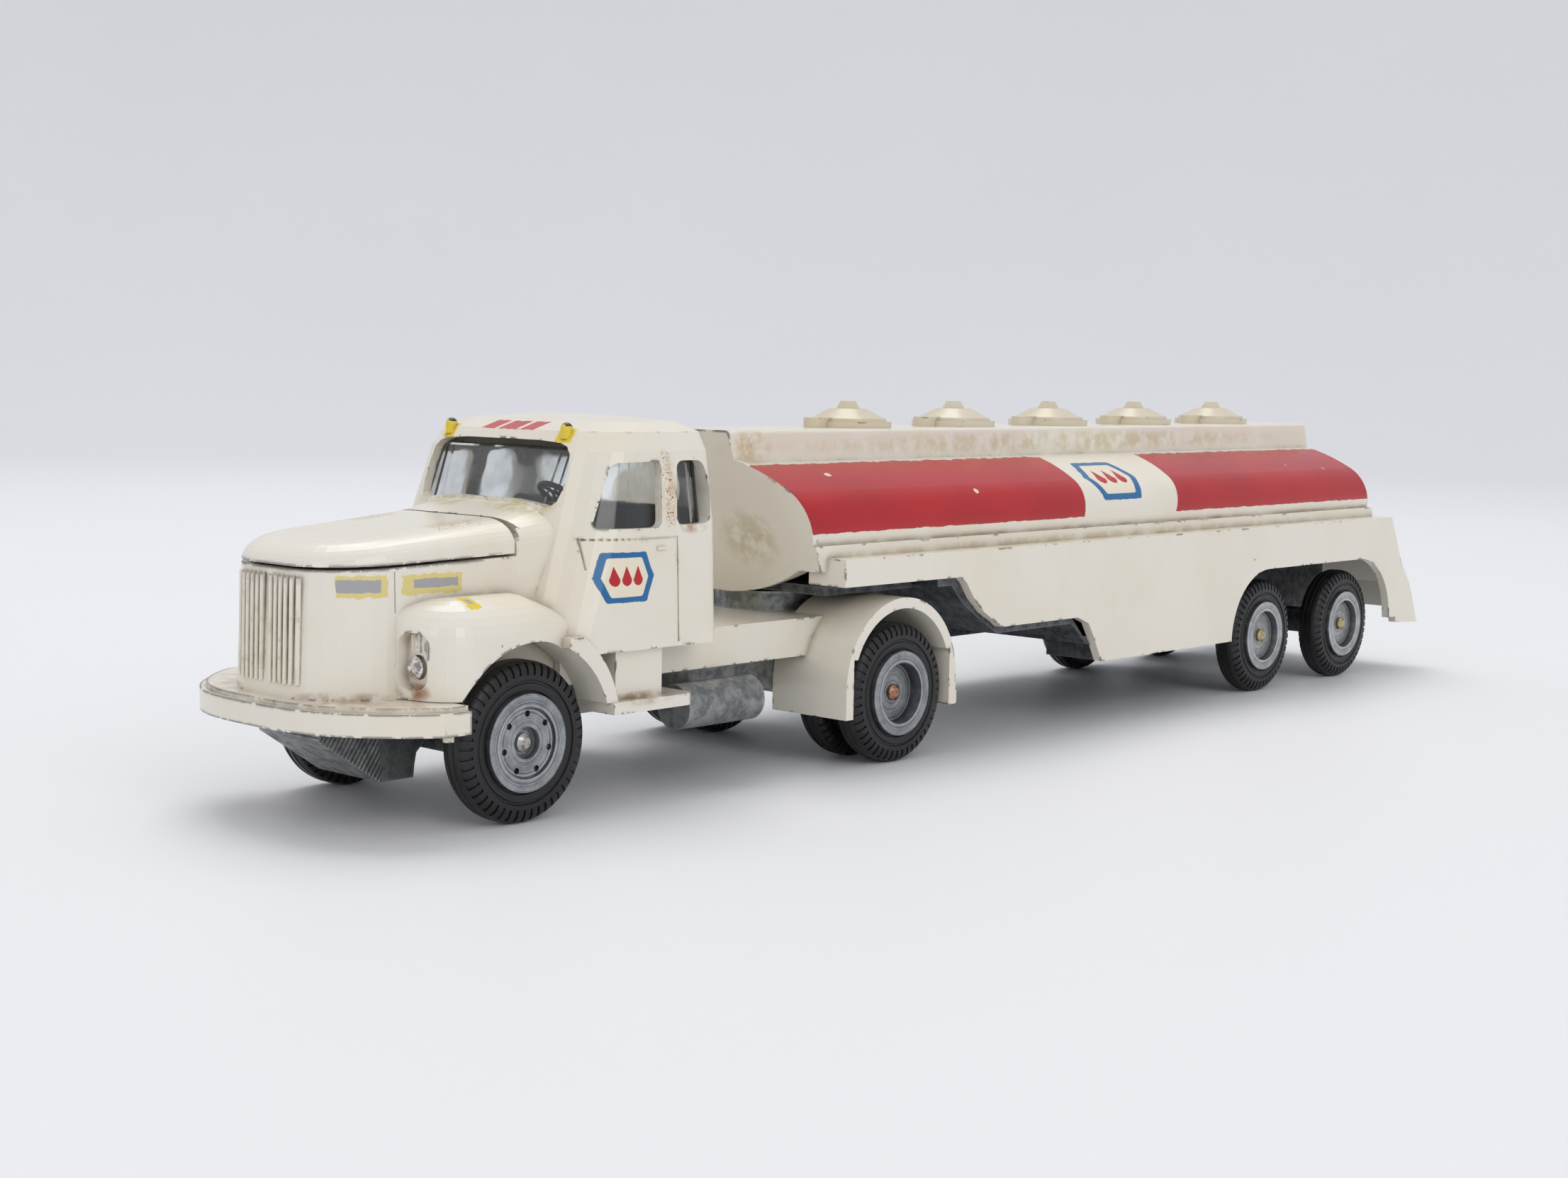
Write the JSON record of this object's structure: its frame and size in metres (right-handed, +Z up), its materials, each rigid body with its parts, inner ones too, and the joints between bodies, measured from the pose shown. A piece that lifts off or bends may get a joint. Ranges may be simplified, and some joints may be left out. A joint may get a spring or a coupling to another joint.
{
  "type": "toy articulated tanker lorry",
  "caption": "Die-cast toy tractor and tanker trailer with rolling wheels, opening bonnet and a swivelling kingpin coupling.",
  "frame": {"origin": "centre of the footprint, on the surface the tyres stand on", "axes": "+X forward, +Y to the lorry's left, +Z up"},
  "size_m": [0.2646, 0.049, 0.0536],
  "materials": {
    "cream_paint": "gloss enamel, chipped at the edges",
    "lid_paint": "gloss enamel, chipped along the shut line",
    "chassis_paint": "gloss enamel, chipped on the bumper",
    "tank_paint": "gloss enamel with red panels",
    "hatch_plastic": "aged cream plastic",
    "base_paint": "dark grey casting",
    "bare_zinc": "dull unpainted zinc casting",
    "hub_zinc": "turned zinc, oxidised",
    "bright_hub": "bright turned zinc",
    "engine_silver": "silver plastic",
    "steel_pin": "plain steel",
    "copper_pin": "coppered steel",
    "brass_pin": "brass-plated steel",
    "tyre_rubber": "black rubber",
    "black_plastic": "black plastic",
    "interior_plastic": "dark plastic",
    "clear_plastic": "clear plastic",
    "jewel": "cut glass jewel"
  },
  "bodies": {
    "tractor": {"cab_shell": "cream_paint", "bonnet_hinge_pin": "steel_pin", "cab_glazing": "clear_plastic", "seat_unit": "interior_plastic", "dashboard": "interior_plastic", "steering_column": "black_plastic", "steering_wheel": "black_plastic", "engine_block": "engine_silver", "cooling_fan": "engine_silver", "left_headlamp": "jewel", "right_headlamp": "jewel", "chassis_frame": "chassis_paint", "tractor_base": "bare_zinc", "base_rivets": "steel_pin", "fifth_wheel_plate": "bare_zinc", "front_axle_pin": "steel_pin", "rear_axle_pin": "copper_pin"},
    "bonnet": {"bonnet_lid": "lid_paint"},
    "front_left_wheel": {"front_left_hub": "hub_zinc", "front_left_tyre": "tyre_rubber"},
    "front_right_wheel": {"front_right_hub": "hub_zinc", "front_right_tyre": "tyre_rubber"},
    "rear_left_wheels": {"rear_left_hub": "hub_zinc", "rear_left_outer_tyre": "tyre_rubber", "rear_left_inner_tyre": "tyre_rubber"},
    "rear_right_wheels": {"rear_right_hub": "hub_zinc", "rear_right_outer_tyre": "tyre_rubber", "rear_right_inner_tyre": "tyre_rubber"},
    "trailer": {"tank_shell": "tank_paint", "hatch_domes": "hatch_plastic", "trailer_base": "base_paint", "trailer_rivets": "steel_pin", "kingpin": "steel_pin", "trailer_front_axle_pin": "brass_pin", "trailer_rear_axle_pin": "brass_pin"},
    "trailer_front_left_wheel": {"trailer_front_left_hub": "bright_hub", "trailer_front_left_tyre": "tyre_rubber"},
    "trailer_front_right_wheel": {"trailer_front_right_hub": "bright_hub", "trailer_front_right_tyre": "tyre_rubber"},
    "trailer_rear_left_wheel": {"trailer_rear_left_hub": "bright_hub", "trailer_rear_left_tyre": "tyre_rubber"},
    "trailer_rear_right_wheel": {"trailer_rear_right_hub": "bright_hub", "trailer_rear_right_tyre": "tyre_rubber"}
  },
  "joints": [
    {"name": "bonnet_hinge", "type": "hinge", "parent": "tractor", "child": "bonnet", "pos_m": [0.1021, 0, 0.03645], "axis": [0, -1, 0], "range_deg": [0, 50]},
    {"name": "front_left_spin", "type": "hinge", "parent": "tractor", "child": "front_left_wheel", "pos_m": [0.1043, 0.0179, 0.0105], "axis": [0, 1, 0], "continuous": true},
    {"name": "front_right_spin", "type": "hinge", "parent": "tractor", "child": "front_right_wheel", "pos_m": [0.1043, -0.0179, 0.0105], "axis": [0, 1, 0], "continuous": true},
    {"name": "rear_left_spin", "type": "hinge", "parent": "tractor", "child": "rear_left_wheels", "pos_m": [0.0343, 0.018, 0.0105], "axis": [0, 1, 0], "continuous": true},
    {"name": "rear_right_spin", "type": "hinge", "parent": "tractor", "child": "rear_right_wheels", "pos_m": [0.0343, -0.018, 0.0105], "axis": [0, 1, 0], "continuous": true},
    {"name": "trailer_swivel", "type": "hinge", "parent": "tractor", "child": "trailer", "pos_m": [0.0383, 0, 0.0253], "axis": [0, 0, 1], "range_deg": [-24, 24]},
    {"name": "trailer_front_left_spin", "type": "hinge", "parent": "trailer", "child": "trailer_front_left_wheel", "pos_m": [-0.0747, 0.0198, 0.0105], "axis": [0, 1, 0], "continuous": true},
    {"name": "trailer_front_right_spin", "type": "hinge", "parent": "trailer", "child": "trailer_front_right_wheel", "pos_m": [-0.0747, -0.0198, 0.0105], "axis": [0, 1, 0], "continuous": true},
    {"name": "trailer_rear_left_spin", "type": "hinge", "parent": "trailer", "child": "trailer_rear_left_wheel", "pos_m": [-0.1053, 0.0198, 0.0105], "axis": [0, 1, 0], "continuous": true},
    {"name": "trailer_rear_right_spin", "type": "hinge", "parent": "trailer", "child": "trailer_rear_right_wheel", "pos_m": [-0.1053, -0.0198, 0.0105], "axis": [0, 1, 0], "continuous": true}
  ]
}
